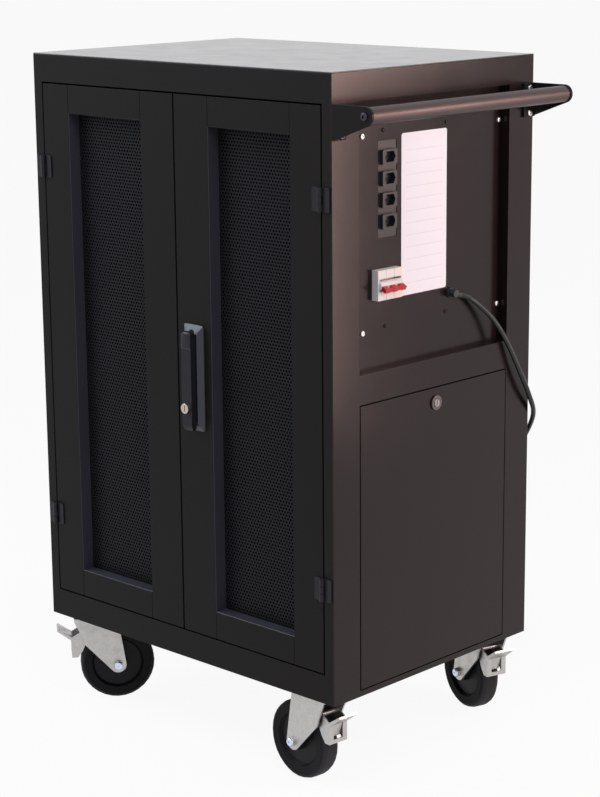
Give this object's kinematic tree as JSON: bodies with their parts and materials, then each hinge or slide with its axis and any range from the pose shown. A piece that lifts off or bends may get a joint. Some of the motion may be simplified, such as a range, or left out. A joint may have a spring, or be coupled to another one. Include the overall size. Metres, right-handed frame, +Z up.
{
  "type": "laptop charging cart",
  "caption": "Steel laptop charging cart with mesh double doors, swing handle, side outlets and breaker, push handle, slotted racks and braked swivel casters.",
  "frame": {"origin": "on the floor under the middle of the cart's box, its mains lead left out", "axes": "+Z up, the doors face -Y, the control side and push handle face +X"},
  "size_m": [0.7302, 0.6507, 1.088],
  "materials": {
    "powder_coat": "black satin powder coat",
    "dark_mesh": "black perforated steel",
    "handle_black": "black moulding",
    "hinge_black": "black coated steel",
    "zinc": "zinc-plated pressed steel",
    "rubber": "black rubber tyre on a plastic hub",
    "chrome": "bright plated lock",
    "white_plastic": "white switchgear plastic",
    "red_plastic": "red moulding",
    "black_plastic": "black moulding",
    "cord_black": "black flexible sheath"
  },
  "bodies": {
    "cabinet": {"cabinet_top": "powder_coat", "left_side_panel": "powder_coat", "back_panel": "powder_coat", "front_frame": "powder_coat", "control_side_frame": "powder_coat", "base_plate": "powder_coat", "service_partition": "powder_coat", "left_lower_hinge_frame_leaf": "hinge_black", "left_upper_hinge_frame_leaf": "hinge_black", "right_lower_hinge_frame_leaf": "hinge_black", "right_upper_hinge_frame_leaf": "hinge_black", "control_panel": "powder_coat", "outlet_strip": "black_plastic", "breaker_body": "white_plastic", "cable_gland": "black_plastic", "push_tube": "powder_coat", "front_push_bracket": "powder_coat", "back_push_bracket": "powder_coat", "lower_laptop_rack": "powder_coat", "lower_charging_strip": "black_plastic", "upper_laptop_rack": "powder_coat", "upper_charging_strip": "black_plastic", "front_left_caster_plate": "zinc", "front_right_caster_plate": "zinc", "back_left_caster_plate": "zinc", "back_right_caster_plate": "zinc", "mains_lead": "cord_black", "mains_lead_coil": "cord_black", "coil_tie": "cord_black", "mains_plug": "cord_black"},
    "left_door": {"left_door": "powder_coat", "left_door_mesh": "dark_mesh", "left_lower_hinge_door_leaf": "hinge_black", "left_upper_hinge_door_leaf": "hinge_black"},
    "right_door": {"right_door": "powder_coat", "right_door_mesh": "dark_mesh", "right_lower_hinge_door_leaf": "hinge_black", "right_upper_hinge_door_leaf": "hinge_black", "handle_base": "handle_black"},
    "handle_spindle": {"handle_spindle": "handle_black", "latch_tongue": "zinc"},
    "handle_lever": {"handle_lever": "handle_black"},
    "handle_key": {"handle_key_cylinder": "chrome"},
    "access_panel": {"access_panel": "powder_coat", "access_lock_barrel": "chrome"},
    "access_lock": {"access_lock_plug": "chrome"},
    "breaker_toggle": {"breaker_toggle": "red_plastic"},
    "front_left_fork": {"front_left_caster_fork": "zinc"},
    "front_left_wheel": {"front_left_caster_wheel": "rubber"},
    "front_left_brake": {"front_left_caster_brake": "zinc"},
    "front_right_fork": {"front_right_caster_fork": "zinc"},
    "front_right_wheel": {"front_right_caster_wheel": "rubber"},
    "front_right_brake": {"front_right_caster_brake": "zinc"},
    "back_left_fork": {"back_left_caster_fork": "zinc"},
    "back_left_wheel": {"back_left_caster_wheel": "rubber"},
    "back_left_brake": {"back_left_caster_brake": "zinc"},
    "back_right_fork": {"back_right_caster_fork": "zinc"},
    "back_right_wheel": {"back_right_caster_wheel": "rubber"},
    "back_right_brake": {"back_right_caster_brake": "zinc"}
  },
  "joints": [
    {"name": "left_door_swing", "type": "hinge", "parent": "cabinet", "child": "left_door", "pos_m": [-0.34066, -0.23875, 0.618], "axis": [0, 0, -1], "range_deg": [0, 160]},
    {"name": "right_door_swing", "type": "hinge", "parent": "cabinet", "child": "right_door", "pos_m": [0.26884, -0.23875, 0.618], "axis": [0, 0, 1], "range_deg": [0, 160]},
    {"name": "handle_turn", "type": "hinge", "parent": "right_door", "child": "handle_spindle", "pos_m": [0.00209, -0.23475, 0.679], "axis": [0, -1, 0], "range_deg": [0, 90]},
    {"name": "lever_lift", "type": "hinge", "parent": "handle_spindle", "child": "handle_lever", "pos_m": [0.00209, -0.24935, 0.679], "axis": [-1, 0, 0], "range_deg": [0, 35]},
    {"name": "handle_key_turn", "type": "hinge", "parent": "handle_lever", "child": "handle_key", "pos_m": [0.00209, -0.25435, 0.565], "axis": [0, -1, 0], "range_deg": [0, 90]},
    {"name": "access_panel_tilt", "type": "hinge", "parent": "cabinet", "child": "access_panel", "pos_m": [0.28909, -0.00475, 0.1588], "axis": [0, 1, 0], "range_deg": [0, 70]},
    {"name": "access_lock_turn", "type": "hinge", "parent": "access_panel", "child": "access_lock", "pos_m": [0.28909, -0.00475, 0.575], "axis": [1, 0, 0], "range_deg": [0, 90]},
    {"name": "breaker_switch", "type": "hinge", "parent": "cabinet", "child": "breaker_toggle", "pos_m": [0.28209, -0.10475, 0.771], "axis": [0, -1, 0], "range_deg": [0, 56]},
    {"name": "front_left_swivel", "type": "hinge", "parent": "cabinet", "child": "front_left_fork", "pos_m": [-0.30891, -0.20075, 0.15], "axis": [0, 0, 1], "continuous": true},
    {"name": "front_left_roll", "type": "hinge", "parent": "front_left_fork", "child": "front_left_wheel", "pos_m": [-0.28059, -0.1645, 0.0625], "axis": [-0.788, 0.6157, 0], "continuous": true},
    {"name": "front_left_brake_press", "type": "hinge", "parent": "front_left_fork", "child": "front_left_brake", "pos_m": [-0.31322, -0.20627, 0.118], "axis": [0.788, -0.6157, 0], "range_deg": [0, 8]},
    {"name": "front_right_swivel", "type": "hinge", "parent": "cabinet", "child": "front_right_fork", "pos_m": [0.23709, -0.20075, 0.15], "axis": [0, 0, 1], "continuous": true},
    {"name": "front_right_roll", "type": "hinge", "parent": "front_right_fork", "child": "front_right_wheel", "pos_m": [0.19127, -0.19674, 0.0625], "axis": [-0.0872, -0.9962, 0], "continuous": true},
    {"name": "front_right_brake_press", "type": "hinge", "parent": "front_right_fork", "child": "front_right_brake", "pos_m": [0.24406, -0.20136, 0.118], "axis": [0.0872, 0.9962, 0], "range_deg": [0, 8]},
    {"name": "back_left_swivel", "type": "hinge", "parent": "cabinet", "child": "back_left_fork", "pos_m": [-0.30891, 0.19125, 0.15], "axis": [0, 0, 1], "continuous": true},
    {"name": "back_left_roll", "type": "hinge", "parent": "back_left_fork", "child": "back_left_wheel", "pos_m": [-0.2699, 0.21563, 0.0625], "axis": [-0.5299, 0.848, 0], "continuous": true},
    {"name": "back_left_brake_press", "type": "hinge", "parent": "back_left_fork", "child": "back_left_brake", "pos_m": [-0.31484, 0.18754, 0.118], "axis": [0.5299, -0.848, 0], "range_deg": [0, 8]},
    {"name": "back_right_swivel", "type": "hinge", "parent": "cabinet", "child": "back_right_fork", "pos_m": [0.23709, 0.19125, 0.15], "axis": [0, 0, 1], "continuous": true},
    {"name": "back_right_roll", "type": "hinge", "parent": "back_right_fork", "child": "back_right_wheel", "pos_m": [0.19334, 0.20546, 0.0625], "axis": [-0.309, -0.9511, 0], "continuous": true},
    {"name": "back_right_brake_press", "type": "hinge", "parent": "back_right_fork", "child": "back_right_brake", "pos_m": [0.24375, 0.18909, 0.118], "axis": [0.309, 0.9511, 0], "range_deg": [0, 8]}
  ]
}
